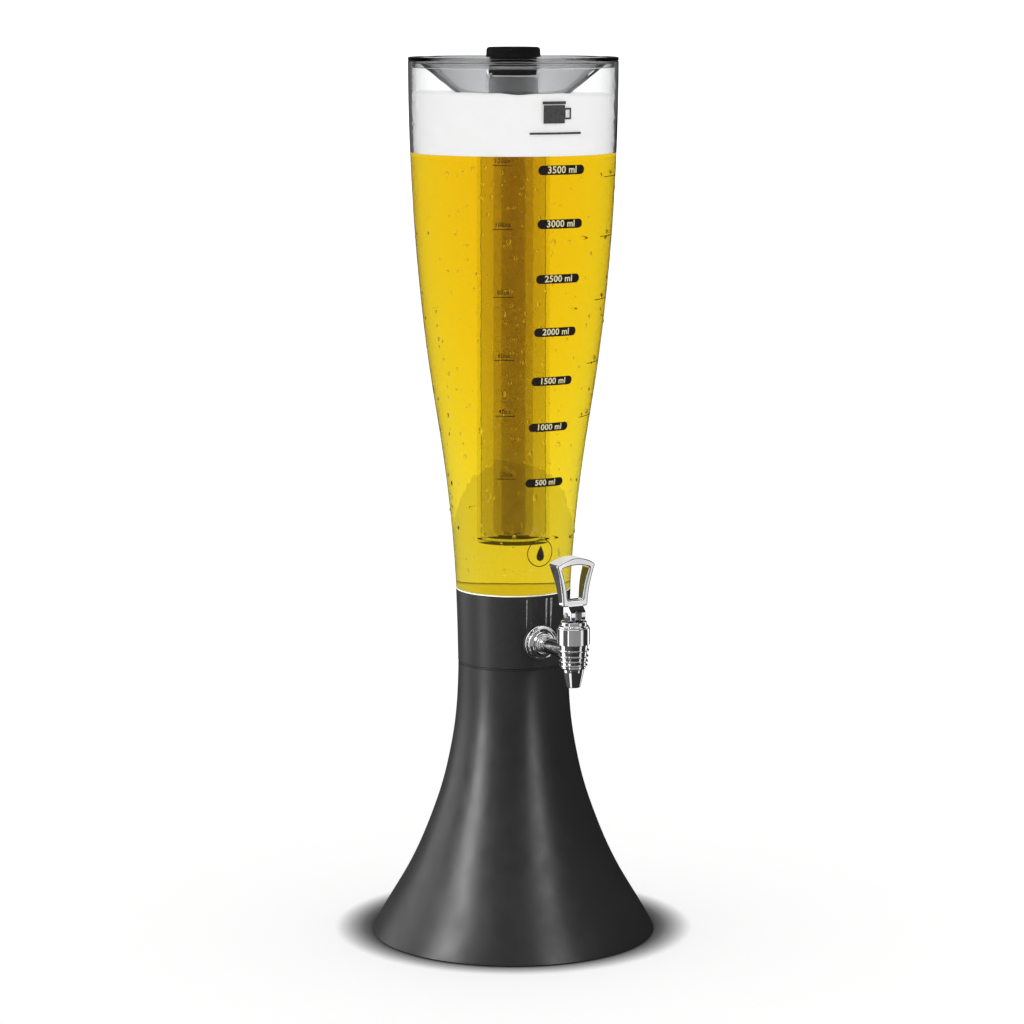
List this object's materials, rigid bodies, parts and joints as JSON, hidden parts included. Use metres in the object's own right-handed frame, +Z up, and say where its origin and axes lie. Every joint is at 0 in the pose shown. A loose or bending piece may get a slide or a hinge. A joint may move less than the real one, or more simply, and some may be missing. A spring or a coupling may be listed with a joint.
{
  "type": "beer tap tower",
  "caption": "Tabletop beer tower: clear tulip tank on a bell base, lever tap at the neck, ice tube hanging from a funnel lid.",
  "frame": {"origin": "centre of the bell base on the table plane", "axes": "+Z up along the tower, -Y from the tower towards the tap, +X to the right when facing the tap"},
  "size_m": [0.22, 0.22, 0.6855],
  "materials": {
    "base_plastic": "satin moulded",
    "foot_rubber": "matt",
    "clear_plastic": "clear polished",
    "cup_plastic": "satin moulded",
    "seal_silicone": "soft",
    "tap_chrome": "mirror",
    "nut_plastic": "moulded",
    "spring_steel": "bright",
    "smoky_plastic": "tinted clear",
    "cap_plastic": "satin moulded"
  },
  "bodies": {
    "base": {"base_shell": "base_plastic", "foot_pads": "foot_rubber"},
    "tank": {"tank": "clear_plastic", "outlet_cup": "cup_plastic", "cup_seal": "foot_rubber", "skirt_ring": "foot_rubber", "tap_body": "tap_chrome", "body_seal": "foot_rubber", "spout_nozzle": "tap_chrome", "tap_flange": "tap_chrome", "outer_gasket": "foot_rubber", "inner_gasket": "seal_silicone", "lock_nut": "nut_plastic", "tap_bonnet": "tap_chrome", "stem_seal": "foot_rubber", "spring_washer": "spring_steel", "spring": "spring_steel"},
    "stem": {"stem": "spring_steel", "seat_plug": "seal_silicone"},
    "lever": {"lever_handle": "tap_chrome", "lever_pin": "spring_steel"},
    "lid": {"lid": "smoky_plastic"},
    "ice_tube": {"ice_tube": "smoky_plastic", "tube_end_cap": "smoky_plastic", "tube_collar": "smoky_plastic"},
    "cap": {"tube_cap": "cap_plastic", "cap_seal": "seal_silicone"}
  },
  "joints": [
    {"name": "tank_lift", "type": "slide", "parent": "base", "child": "tank", "axis": [0, 0, 1], "range_m": [0, 0.06]},
    {"name": "stem_lift", "type": "slide", "parent": "tank", "child": "stem", "axis": [0, 0, 1], "range_m": [0, 0.0023], "deforming": ["spring"]},
    {"name": "lever_pull", "type": "hinge", "parent": "stem", "child": "lever", "pos_m": [0, -0.096, 0.2656], "axis": [1, 0, 0], "range_deg": [0, 40], "stiffness_Nm_per_rad": 0.017, "springref_deg": -53.86},
    {"name": "lid_lift", "type": "slide", "parent": "tank", "child": "lid", "axis": [0, 0, 1], "range_m": [0, 0.38]},
    {"name": "tube_lift", "type": "slide", "parent": "lid", "child": "ice_tube", "axis": [0, 0, 1], "range_m": [0, 0.38]},
    {"name": "cap_lift", "type": "slide", "parent": "ice_tube", "child": "cap", "axis": [0, 0, 1], "range_m": [0, 0.03]}
  ],
  "couplings": [
    {"joint": "stem_lift", "follows": "lever_pull", "m_per_rad": 0.0032}
  ]
}
